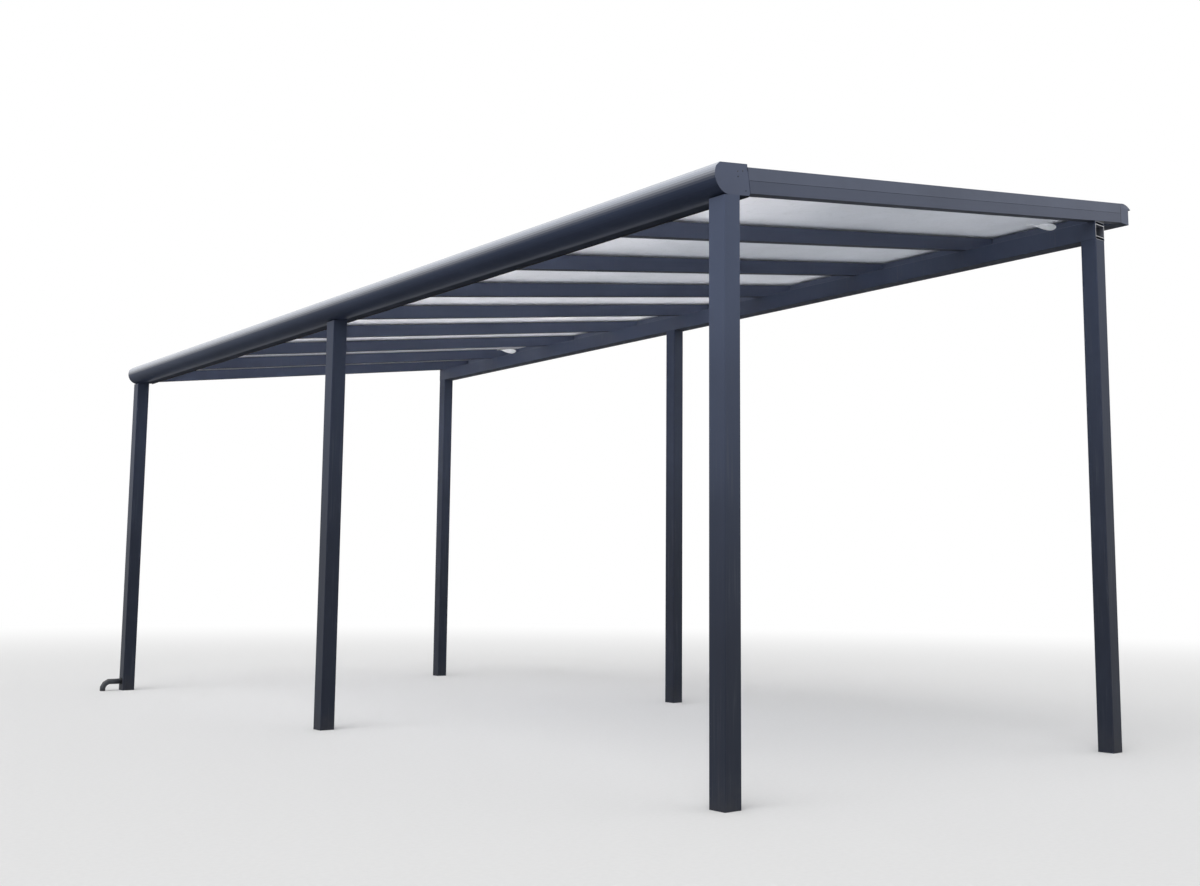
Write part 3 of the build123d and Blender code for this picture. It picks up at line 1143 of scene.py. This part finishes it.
@dataclass(frozen=True)
class RoofFrame:
    """The roof's own directions: so far up the slope, so far above the rafters' underside."""

    x: float
    z: float
    slope: float
    rafter_start: float = 188.3 * MM

    @classmethod
    def of_rafter(cls, node: str) -> "RoofFrame":
        """Read the roof's place and slope from a rafter's lower edge.

        Args:
            node: The rafter's node.

        Returns:
            The roof's frame.
        """
        points = points_of(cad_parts[node].data)
        low = points[np.argmin(points[:, 2])]
        far = points[points[:, 0] > points[:, 0].max() - 0.1 * MM]
        high = far[np.argmin(far[:, 2])]
        return cls(float(low[0]), float(low[2]), math.atan2(high[2] - low[2], high[0] - low[0]))

    @property
    def uphill(self) -> np.ndarray:
        """Give the direction up the slope."""
        return np.array([math.cos(self.slope), 0.0, math.sin(self.slope)])

    @property
    def outward(self) -> np.ndarray:
        """Give the direction square to the roof, upwards."""
        return np.array([-math.sin(self.slope), 0.0, math.cos(self.slope)])

    def at(self, along: float, above: float, y: float) -> np.ndarray:
        """Give a point of the roof: start + (along - rafter_start) uphill + above outward.

        Args:
            along: How far up the slope, from the row of posts on the gutter side.
            above: How far above the rafters' underside.
            y: How far to the rear.

        Returns:
            The point.
        """
        start = np.array([self.x, y, self.z])
        return start + (along - self.rafter_start) * self.uphill + above * self.outward

    def beads(self, nodes: Sequence[str], bead: Bead) -> Shell:
        """Lay beads along the sides of bars, without the outer sides of the first and last one.

        Each is a ring of points that is carried up the slope.

        Args:
            nodes: The bars' nodes, from front to rear.
            bead: The bead's sizes.

        Returns:
            The beads.
        """
        angles = 2 * np.pi * np.arange(bead.sides) / bead.sides
        ring = np.stack([np.cos(angles), np.sin(angles)], axis=1) * bead.radii
        start = self.rafter_start + bead.start
        beads = []
        for node in nodes:
            low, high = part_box(node)
            end = start + (high.x - low.x) / math.cos(self.slope) - bead.shortfall
            for y in (low.y + bead.inset, high.y - bead.inset):
                path = np.stack([self.at(along, bead.above, y) for along in (start, end)])
                beads.append(carried(ring, path, REARWARD, self.outward))
        return Shell.joined(beads[1:-1])


# Sub-assemblies


def row(stem: str) -> tuple[str, ...]:
    """Name the nodes of a row from front to rear: the edge ones and the seven between them."""
    middles = (f"{stem}_{index}" for index in range(1, 8))
    return (f"{stem}_edge_front", *middles, f"{stem}_edge_rear")


@dataclass
class Posts:
    """The six square posts and the drilled feet inside them."""

    left: tuple[str, ...] = ("post_left_front", "post_left_mid", "post_left_rear")
    right: tuple[str, ...] = ("post_right_front", "post_right_mid", "post_right_rear")
    feet: str = "post_feet"

    def build(self, finishes: Finishes) -> None:
        """Dress the posts and their feet.

        Args:
            finishes: The materials.
        """
        dress(self.left[:1], finishes.front_post)
        # The other posts get the copy of the coat with painted shade.
        dress(self.left[1:] + self.right, finishes.shaded_post)
        dress((self.feet,), finishes.foot)


@dataclass
class CarrierBeam:
    """The level beam over the right-hand posts, and the packers between it and the rafters."""

    node: str = "carrier_beam"
    wedges: str = "rafter_wedges"

    def build(self, finishes: Finishes) -> None:
        """Dress the beam and the packers."""
        dress((self.node,), finishes.beam)
        dress((self.wedges,), finishes.packer)


@dataclass
class Gutter:
    """The half-round gutter with its end caps, their screws, its drain and a dark strip of painted
    shade.
    """

    roof: RoofFrame
    trough: str = "gutter"
    drain: str = "gutter_drain"
    caps: tuple[str, ...] = ("gutter_cap_front", "gutter_cap_rear")
    # A dark rubber strip under the gutter's inner foot stands in for the shade there.
    shade_strip_foot: tuple[float, float] = (174.0 * MM, -12.0 * MM)
    shade_strip_line: tuple[tuple[float, float], ...] = (
        (0.0, 0.4 * MM),
        (4.0 * MM, 0.4 * MM),
        (4.0 * MM, -5.0 * MM),
        (2.8 * MM, -6.5 * MM),
        (1.2 * MM, -6.5 * MM),
        (0.0, -5.0 * MM),
    )
    cap_recess: float = 1.8 * MM
    screw_radius: float = 3.6 * MM
    screw_places: tuple[tuple[float, float], ...] = (
        (114.0 * MM, 108.0 * MM),
        (112.0 * MM, 82.0 * MM),
        (150.0 * MM, 112.0 * MM),
        (158.0 * MM, 12.0 * MM),
    )
    screw_line: tuple[tuple[float, float], ...] = (
        (0.0, 0.35),
        (0.34, 0.35),
        (0.42, 0.86),
        (0.72, 0.84),
        (0.95, 0.55),
        (1.0, 0.1),
        (1.0, -0.2),
        (0.0, -0.2),
    )

    def build(self, finishes: Finishes) -> None:
        """Stand smooth copies in for the trough and drain; build the caps, screws and dark strip of
        painted shade.

        Args:
            finishes: The materials.
        """
        smooth_copy(self.trough, finishes.gutter)
        smooth_copy(self.drain, finishes.pipe)
        self.shade_strip().piece("gutter_shade_strip", finishes.rubber, Slot.PACKER)
        for node, outward in zip(self.caps, (-1.0, 1.0)):
            self.build_cap(node, outward, finishes)

    def shade_strip(self) -> Shell:
        """Build the dark rubber strip that stands in for the shade under the gutter's inner foot:
        its outline is carried along Y.

        Returns:
            The strip.
        """
        path = np.stack([self.roof.at(*self.shade_strip_foot, end.y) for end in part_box(self.trough)])
        return carried(np.array(self.shade_strip_line), path, self.roof.uphill, self.roof.outward)

    def build_cap(self, node: str, outward: float, finishes: Finishes) -> None:
        """Build one cap, set back so that its screw heads stay flush.

        The cap's Y is drawn towards its inner face, so that the outer one lies cap_recess deeper.

        Args:
            node: The cap's node.
            outward: -1 for the front cap, 1 for the rear one.
            finishes: The materials.
        """
        low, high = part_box(node)
        inner, outer = (high.y, low.y) if outward < 0 else (low.y, high.y)
        share = 1.0 - self.cap_recess / abs(outer - inner)
        mesh = bare_copy(node)
        points = points_of(mesh)
        points[:, 1] = inner + (points[:, 1] - inner) * share
        mesh.vertices.foreach_set("co", points.ravel())
        cap = finish_piece(mesh, f"{node}_dressed", finishes.cap, smooth_degrees=24.0)
        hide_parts(node)
        face = inner + (outer - inner) * share
        heads = [self.screw(self.roof.at(*place, face), outward) for place in self.screw_places]
        Shell.joined(heads).piece(f"{node}_screws", finishes.screw, Slot.METAL)

    def screw(self, place: np.ndarray, outward: float) -> Shell:
        """Build one dished screw head that looks along Y: its outline is turned round Y.

        Args:
            place: The middle of its foot.
            outward: -1 where it looks to the front, 1 to the rear.

        Returns:
            The head.
        """
        outline = np.array(self.screw_line) * (self.screw_radius, self.cap_recess)
        axis, across = np.array([0.0, outward, 0.0]), np.array([1.0, 0.0, 0.0])
        return turned(outline, place, axis, across, steps=12)


@dataclass
class Rafters:
    """The nine rafters with the rubber seals on which the sheets lie."""

    roof: RoofFrame
    names: tuple[str, ...] = row("rafter")
    seal: Bead = Bead(
        radii=(2.55 * MM, 1.7 * MM),
        sides=8,
        inset=2.6 * MM,
        above=93.5 * MM,
        start=1.0 * MM,
        shortfall=12.0 * MM,
    )

    def build(self, finishes: Finishes) -> None:
        """Dress the rafters and lay a seal along each edge that carries a sheet.

        Args:
            finishes: The materials.
        """
        dress(self.names[1:-1], finishes.rafter)
        for node, finish in zip((self.names[0], self.names[-1]), finishes.edge_rafters):
            dress((node,), finish)
        seals = self.roof.beads(self.names, self.seal)
        seals.piece("sheet_seals", finishes.rubber, Slot.PACKER)


@dataclass
class Covers:
    """The nine cover strips, their lip seals on the sheets and the plugs in their low ends."""

    roof: RoofFrame
    names: tuple[str, ...] = row("cover")
    lip: Bead = Bead(
        radii=(1.1 * MM, 1.1 * MM),
        sides=6,
        inset=0.0,
        above=112.2 * MM,
        start=2.0 * MM,
        shortfall=30.0 * MM,
    )
    plug_thickness: float = 1.8 * MM
    plug_top: float = 133.6 * MM
    plug_foot: float = 112.0 * MM
    plug_corner: float = 4.0 * MM

    def build(self, finishes: Finishes) -> None:
        """Dress the covers, lay the lip seals and close the low ends.

        Args:
            finishes: The materials.
        """
        dress((self.names[0], self.names[-1]), finishes.fascia)
        dress(self.names[1:-1], finishes.cover)
        lips = self.roof.beads(self.names, self.lip)
        lips.piece("cover_lips", finishes.rubber, Slot.PACKER)
        plugs = Shell.joined([self.plug(node) for node in self.names])
        plugs.piece("cover_plugs", finishes.packer, Slot.PACKER)

    def plug(self, node: str) -> Shell:
        """Build one plug: a plate with two chamfered upper corners on the cover's low end.

        Its outline runs up one side, and its mirror image runs down the other.

        Args:
            node: The cover's node.

        Returns:
            The plug.
        """
        low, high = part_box(node)
        half, corner, top = (high.y - low.y) / 2, self.plug_corner, self.plug_top
        side = np.array(
            [
                (half, self.plug_foot),
                (half, top - corner),
                (half - 0.3 * corner, top - 0.3 * corner),
                (half - corner, top),
            ]
        )
        outline = np.concatenate([side, side[::-1] * (-1.0, 1.0)])
        start, middle = self.roof.rafter_start, (low.y + high.y) / 2
        ends = (start - self.plug_thickness, start)
        path = np.stack([self.roof.at(end, 0.0, middle) for end in ends])
        return carried(outline, path, REARWARD, self.roof.outward)


@dataclass
class Sheets:
    """The eight opal sheets with their end trims and two loose ends of edge tape.

    tape_runs says how far behind the beam's front end each tape leaves its sheet and ends.
    """

    names: tuple[str, ...] = tuple(f"roof_sheet_{index}" for index in range(1, 9))
    trims: str = "sheet_end_trims"
    beam: str = "carrier_beam"
    tape_runs: tuple[tuple[float, float], ...] = ((0.520, 0.290), (6.990, 6.640))
    tape_inset: float = 4.0 * MM
    tape_width: float = 50.0 * MM
    tape_thickness: float = 0.8 * MM
    tape_drop: float = 80.0 * MM
    tape_clearance: float = 0.6 * MM
    tape_sway: float = 8.0 * MM
    tape_rounding: float = 0.2

    def build(self, finishes: Finishes) -> None:
        """Dress the sheets and trims and hang the two loose tape ends.

        Args:
            finishes: The materials.
        """
        dress(self.names, finishes.sheet)
        dress((self.trims,), finishes.trim)
        tapes = Shell.joined([self.tape(*run) for run in self.tape_runs])
        tapes.piece("tape_ends", finishes.tape, Slot.METAL)

    def tape(self, start: float, end: float) -> Shell:
        """Build one strip of tape that has come off the sheet and hangs down to the beam.

        With t from 0 to 1 its middle runs from start to end in Y and falls by
        (3 t^2 - 2 t^3) of its drop, and it twists by a quarter of a turn as it falls. Both
        ends are round: with e the distance to the nearer end as a share of the rounding,
        the strip keeps the square root of 1 - (1 - e)^2 of its width.

        Args:
            start: Where it leaves the sheet.
            end: Where its loose end is.

        Returns:
            The strip.
        """
        low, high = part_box(self.beam)
        share = np.linspace(0.0, 1.0, 33)
        fall = 3 * share**2 - 2 * share**3
        twist = 0.5 * np.pi * fall
        x = low.x + self.tape_inset + self.tape_sway * np.sin(2 * np.pi * share)
        y = low.y + start + (end - start) * share
        rise = self.tape_drop * (1 - fall) + self.tape_clearance + 0.4 * self.tape_width * fall
        stations = np.stack([x, y, high.z + rise], axis=1)
        across = np.stack([np.cos(twist), np.zeros_like(twist), np.sin(twist)], axis=1)
        up = np.cross(across, np.gradient(stations, axis=0))
        up /= np.linalg.norm(up, axis=1, keepdims=True)
        half, thin = self.tape_width / 2, self.tape_thickness / 2
        outline = np.array([(-half, -thin), (half, -thin), (half, thin), (-half, thin)])
        near_end = np.clip(np.minimum(share, 1 - share) / self.tape_rounding, 0.02, 1.0)
        return carried(outline, stations, across, up, np.sqrt(1 - (1 - near_end) ** 2))


@dataclass
class ClosingProfile:
    """The plumb box along the high side with its domed crown and end caps."""

    node: str = "closing_profile"
    caps: tuple[str, ...] = ("closing_cap_front", "closing_cap_rear")

    def build(self, finishes: Finishes) -> None:
        """Stand smooth copies in for the profile and its caps.

        Args:
            finishes: The materials.
        """
        smooth_copy(self.node, finishes.closer)
        for node in self.caps:
            smooth_copy(node, finishes.closer_cap)


@dataclass
class RainOutlet:
    """The elbow that leaves the rear left post, with a rubber ring where it comes out."""

    node: str = "rain_outlet"
    post: str = "post_left_rear"
    pipe_radius: float = 25.0 * MM
    ring_width: float = 5.0 * MM
    ring_proud: float = 2.5 * MM

    def build(self, finishes: Finishes) -> None:
        """Stand a smooth copy in for the elbow, and turn its rubber ring round the pipe.

        Args:
            finishes: The materials.
        """
        smooth_copy(self.node, finishes.pipe, smooth_degrees=50.0)
        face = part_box(self.post)[0].x
        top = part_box(self.node)[1].z
        centre = np.array([face, middle_of(self.node).y, top - self.pipe_radius])
        inner, outer, proud = self.pipe_radius, self.pipe_radius + self.ring_width, self.ring_proud
        outline = np.array(
            [
                (inner, 0.0),
                (outer, 0.0),
                (outer, 0.5 * proud),
                (outer - 0.4 * proud, proud),
                (inner, proud),
                (inner, 0.0),
            ]
        )
        ring = turned(outline, centre, np.array([-1.0, 0.0, 0.0]), np.array(REARWARD), steps=40)
        ring.piece("outlet_ring", finishes.rubber, Slot.PACKER)


# Camera and studio


def direction(azimuth: float, elevation: float) -> Vector:
    """Work out a direction from its angles.

    Args:
        azimuth: The angle from +Y towards +X, in radians.
        elevation: The angle above the ground, in radians.

    Returns:
        The direction.
    """
    flat = math.cos(elevation)
    return Vector((math.sin(azimuth) * flat, math.cos(azimuth) * flat, math.sin(elevation)))


@dataclass(frozen=True)
class PhotoCamera:
    """The camera that took the photograph, placed from the outer front corner of one post.

    A point sits at pixel = centre + focal * sideways / depth on a 1200 pixel wide frame.
    """

    post: str = "post_left_front"
    offset: Triple = (-4.2944, -4.2533, 1.0536)
    yaw_degrees: float = 39.5959
    pitch_degrees: float = 6.3537
    roll_degrees: float = -0.5387
    focal_pixels: float = 1262.24
    frame_pixels: int = 1200
    sensor_mm: float = 36.0
    sight: float = 200.0

    def axes(self) -> Matrix:
        """Work out the camera's turn.

        Returns:
            A rotation whose columns are the camera's right, up and backward directions.
        """
        yaw, pitch, roll = map(
            math.radians, (self.yaw_degrees, self.pitch_degrees, self.roll_degrees)
        )
        forward = direction(yaw, pitch)
        level_right = Vector((math.cos(yaw), -math.sin(yaw), 0.0))
        level_up = level_right.cross(forward)
        right = math.cos(roll) * level_right - math.sin(roll) * level_up
        up = math.sin(roll) * level_right + math.cos(roll) * level_up
        return Matrix((right, up, -forward)).transposed()

    def build(self) -> None:
        """Put the camera into the scene, from the corner on the ground."""
        data = bpy.data.cameras.new("camera")
        data.sensor_width = self.sensor_mm
        data.sensor_fit = "HORIZONTAL"
        data.lens = self.focal_pixels * self.sensor_mm / self.frame_pixels
        data.clip_end = self.sight
        corner = Vector(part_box(self.post)[0])
        corner.z = 0.0
        camera = placed("camera", data)
        place = Matrix.Translation(corner + Vector(self.offset))
        camera.matrix_world = place @ self.axes().to_4x4()
        bpy.context.scene.camera = camera


@dataclass(frozen=True)
class Lamp:
    """A soft far lamp. Azimuth 0 is from the front and 90 from the left side."""

    name: str
    azimuth_degrees: float
    elevation_degrees: float
    strength: float
    softness_degrees: float

    def build(self) -> None:
        """Put the lamp into the scene."""
        data = bpy.data.lights.new(self.name, "SUN")
        data.energy = self.strength
        data.angle = math.radians(self.softness_degrees)
        lamp = placed(self.name, data)
        to_lamp = direction(
            math.radians(self.azimuth_degrees + 180.0), math.radians(self.elevation_degrees)
        )
        lamp.rotation_mode = "QUATERNION"
        lamp.rotation_quaternion = to_lamp.to_track_quat("Z", "Y")


@dataclass(frozen=True)
class Studio:
    """A pale floor under a white backdrop with plain soft light."""

    half_floor: float = 60.0
    floor_colour: Triple = (0.80, 0.80, 0.80)
    bounce_colour: Triple = (0.30, 0.30, 0.32)
    fade_start: float = 7.0
    fade_end: float = 22.0
    sky_level: float = 0.62
    lamps: tuple[Lamp, ...] = (
        Lamp("key", 70.0, 48.0, 1.35, 55.0),
        Lamp("fill", -25.0, 38.0, 0.26, 80.0),
    )

    def build(self) -> None:
        """Build the floor, the backdrop and the lamps."""
        self.build_floor()
        self.build_backdrop()
        for lamp in self.lamps:
            lamp.build()
        bpy.context.scene.view_settings.view_transform = "Standard"

    def seen_rays(self, wiring: Wiring) -> Socket:
        """Give 1 for camera, glossy and transmission rays and 0 for others.

        Args:
            wiring: The tree's wiring.

        Returns:
            The mask's socket.
        """
        path = wiring.add("ShaderNodeLightPath").outputs
        gloss = wiring.maths("MAXIMUM", path["Is Glossy Ray"], path["Is Transmission Ray"])
        return wiring.maths("MAXIMUM", path["Is Camera Ray"], gloss)

    def build_floor(self) -> None:
        """Build the floor: pale near the object, fading to white far away."""
        half = self.half_floor
        corners = [(-half, -half, 0), (half, -half, 0), (half, half, 0), (-half, half, 0)]
        mesh = bpy.data.meshes.new("floor")
        mesh.from_pydata(corners, [], [(0, 1, 2, 3)])
        floor = placed("floor", mesh)
        skin = Skin("studio_floor")
        seen = self.seen_rays(skin)
        grain = skin.noise(skin.where, scale=40.0, detail=4.0)
        grain = skin.ramp(grain, 0.3, 0.7, start=0.98)
        pale = skin.scaled(self.floor_colour, grain)
        material = skin.finished(
            Base_Color=skin.mix(seen, self.bounce_colour, pale),
            Roughness=0.9,
            Specular_IOR_Level=0.0,
        )
        away = skin.ramp(skin.vector("LENGTH", skin.where), self.fade_start, self.fade_end)
        nodes = skin.tree.nodes
        surface = nodes["Principled BSDF"].outputs[0]
        glow = skin.add("ShaderNodeEmission").outputs[0]
        both = skin.result("ShaderNodeMixShader", {0: skin.times(away, seen), 1: surface, 2: glow})
        skin.feed(nodes["Material Output"].inputs["Surface"], both)
        mesh.materials.append(material)

    def build_backdrop(self) -> None:
        """Build the backdrop: white to the eye and in reflections, dimmer as a light."""
        world = bpy.data.worlds.new("backdrop")
        bpy.context.scene.world = world
        world.use_nodes = True
        wiring = Wiring(world.node_tree)
        background = world.node_tree.nodes["Background"].inputs
        wiring.feed(background["Color"], (1.0, 1.0, 1.0))
        level = wiring.ramp(self.seen_rays(wiring), 0.0, 1.0, start=self.sky_level)
        wiring.feed(background["Strength"], level)


def main() -> None:
    """Build the carport's finishes and sub-assemblies in order, then the studio round them."""
    logging.basicConfig(level=logging.INFO, format="%(name)s %(message)s")
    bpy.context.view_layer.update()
    roof = RoofFrame.of_rafter("rafter_1")
    finishes = Finishes()
    for assembly in (
        Posts(),
        CarrierBeam(),
        Gutter(roof),
        Rafters(roof),
        Covers(roof),
        Sheets(),
        ClosingProfile(),
        RainOutlet(),
    ):
        assembly.build(finishes)
        LOG.info("%s built", type(assembly).__name__)
    Studio().build()
    PhotoCamera().build()


if __name__ == "__main__":
    main()
